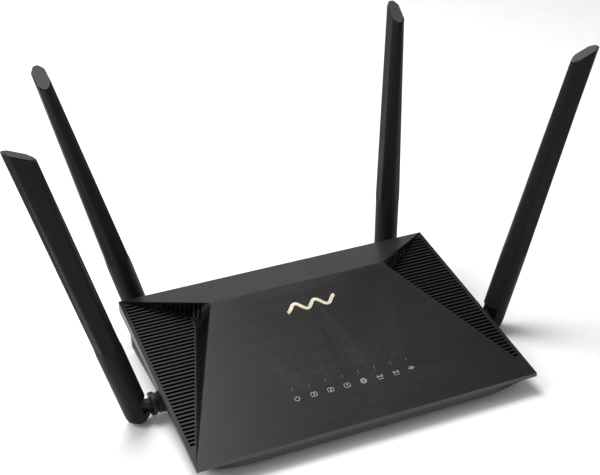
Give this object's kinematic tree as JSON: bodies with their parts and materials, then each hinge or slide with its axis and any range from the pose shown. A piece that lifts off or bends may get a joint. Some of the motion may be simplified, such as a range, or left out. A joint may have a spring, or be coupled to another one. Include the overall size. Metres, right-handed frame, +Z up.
{
  "type": "wireless router",
  "caption": "Wedge-shaped desktop wireless router with slotted corner grilles, a row of status lights, rear sockets and antennas on two-axis hinges.",
  "frame": {"origin": "centre of the flat underside of the bottom case, 4.5 mm above the feet' ends", "axes": "+Z up, -Y towards the front edge with the status lights, +Y towards the rear sockets"},
  "size_m": [0.3576, 0.1761, 0.1984],
  "materials": {
    "cover_plastic": "satin dark grey with fine brushed streaks",
    "case_plastic": "fine grained near black",
    "emblem_metal": "pale gold, satin",
    "board_laminate": "green solder mask",
    "thermal_pad": "soft grey blue pad",
    "heat_sink_aluminium": "plain extruded",
    "can_steel": "tinned sheet",
    "socket_plastic": "black moulded",
    "usb_shell": "nickel plated sheet",
    "button_plastic": "dark grey",
    "switch_plastic": "black moulded",
    "guide_plastic": "milky translucent",
    "foot_rubber": "black rubber",
    "screw_steel": "zinc plated",
    "antenna_plastic": "matte black",
    "knuckle_plastic": "satin black",
    "pin_steel": "plain steel",
    "radiator_strip": "copper foil on laminate",
    "coax_jacket": "dark grey jacket"
  },
  "bodies": {
    "router_body": {"top_cover": "cover_plastic", "bottom_case": "case_plastic", "wave_emblem": "emblem_metal", "main_board": "board_laminate", "thermal_pad": "thermal_pad", "heat_sink": "heat_sink_aluminium", "shield_can_left": "can_steel", "shield_can_right": "can_steel", "wan_jack": "socket_plastic", "lan_jack_1": "socket_plastic", "lan_jack_2": "socket_plastic", "lan_jack_3": "socket_plastic", "dc_jack": "socket_plastic", "usb_jack": "usb_shell", "power_switch": "switch_plastic", "wps_switch": "switch_plastic", "reset_switch": "switch_plastic", "light_guide": "guide_plastic", "front_left_foot": "foot_rubber", "front_right_foot": "foot_rubber", "rear_left_foot": "foot_rubber", "rear_right_foot": "foot_rubber", "front_left_screw": "screw_steel", "front_right_screw": "screw_steel", "rear_left_screw": "screw_steel", "rear_right_screw": "screw_steel", "left_side_coax": "coax_jacket", "right_side_coax": "coax_jacket", "left_rear_coax": "coax_jacket", "right_rear_coax": "coax_jacket"},
    "left_side_swivel": {"left_side_knuckle": "knuckle_plastic", "left_side_clip": "pin_steel"},
    "left_side_blade": {"left_side_antenna": "antenna_plastic", "left_side_hinge_pin": "pin_steel", "left_side_radiator": "radiator_strip"},
    "right_side_swivel": {"right_side_knuckle": "knuckle_plastic", "right_side_clip": "pin_steel"},
    "right_side_blade": {"right_side_antenna": "antenna_plastic", "right_side_hinge_pin": "pin_steel", "right_side_radiator": "radiator_strip"},
    "left_rear_swivel": {"left_rear_knuckle": "knuckle_plastic", "left_rear_clip": "pin_steel"},
    "left_rear_blade": {"left_rear_antenna": "antenna_plastic", "left_rear_hinge_pin": "pin_steel", "left_rear_radiator": "radiator_strip"},
    "right_rear_swivel": {"right_rear_knuckle": "knuckle_plastic", "right_rear_clip": "pin_steel"},
    "right_rear_blade": {"right_rear_antenna": "antenna_plastic", "right_rear_hinge_pin": "pin_steel", "right_rear_radiator": "radiator_strip"},
    "power_button_body": {"power_button": "button_plastic"},
    "wps_button_body": {"wps_button": "button_plastic"},
    "reset_button_body": {"reset_button": "button_plastic"}
  },
  "joints": [
    {"name": "left_side_swivel_turn", "type": "hinge", "parent": "router_body", "child": "left_side_swivel", "pos_m": [-0.121, -0.0015, 0.0058], "axis": [1, 0, 0], "range_deg": [-22, 86]},
    {"name": "left_side_lean", "type": "hinge", "parent": "left_side_swivel", "child": "left_side_blade", "pos_m": [-0.121, -0.00146, 0.0049], "axis": [0, -0.9989, -0.0471], "range_deg": [-14.9, 75.1]},
    {"name": "right_side_swivel_turn", "type": "hinge", "parent": "router_body", "child": "right_side_swivel", "pos_m": [0.121, -0.0015, 0.0058], "axis": [1, 0, 0], "range_deg": [-22, 86]},
    {"name": "right_side_lean", "type": "hinge", "parent": "right_side_swivel", "child": "right_side_blade", "pos_m": [0.121, -0.00146, 0.0049], "axis": [0, 0.999, 0.0436], "range_deg": [-16.4, 73.6]},
    {"name": "left_rear_swivel_turn", "type": "hinge", "parent": "router_body", "child": "left_rear_swivel", "pos_m": [-0.0898, 0.0932, 0.0073], "axis": [0, 1, 0], "range_deg": [-75, 34]},
    {"name": "left_rear_lean", "type": "hinge", "parent": "left_rear_swivel", "child": "left_rear_blade", "pos_m": [-0.08958, 0.0932, 0.00643], "axis": [-0.9699, 0, -0.2436], "range_deg": [0, 90]},
    {"name": "right_rear_swivel_turn", "type": "hinge", "parent": "router_body", "child": "right_rear_swivel", "pos_m": [0.0898, 0.0932, 0.0073], "axis": [0, 1, 0], "range_deg": [-22, 86.5]},
    {"name": "right_rear_lean", "type": "hinge", "parent": "right_rear_swivel", "child": "right_rear_blade", "pos_m": [0.08976, 0.0932, 0.0064], "axis": [-0.9991, 0, 0.0419], "range_deg": [0, 90]},
    {"name": "power_press", "type": "slide", "parent": "router_body", "child": "power_button_body", "axis": [0, -1, 0], "range_m": [0, 0.0015], "stiffness_N_per_m": 500, "springref_m": -0.0005},
    {"name": "wps_press", "type": "slide", "parent": "router_body", "child": "wps_button_body", "axis": [0, -1, 0], "range_m": [0, 0.0008], "stiffness_N_per_m": 500, "springref_m": -0.0005},
    {"name": "reset_press", "type": "slide", "parent": "router_body", "child": "reset_button_body", "axis": [0, -1, 0], "range_m": [0, 0.0005], "stiffness_N_per_m": 300, "springref_m": -0.0005}
  ]
}
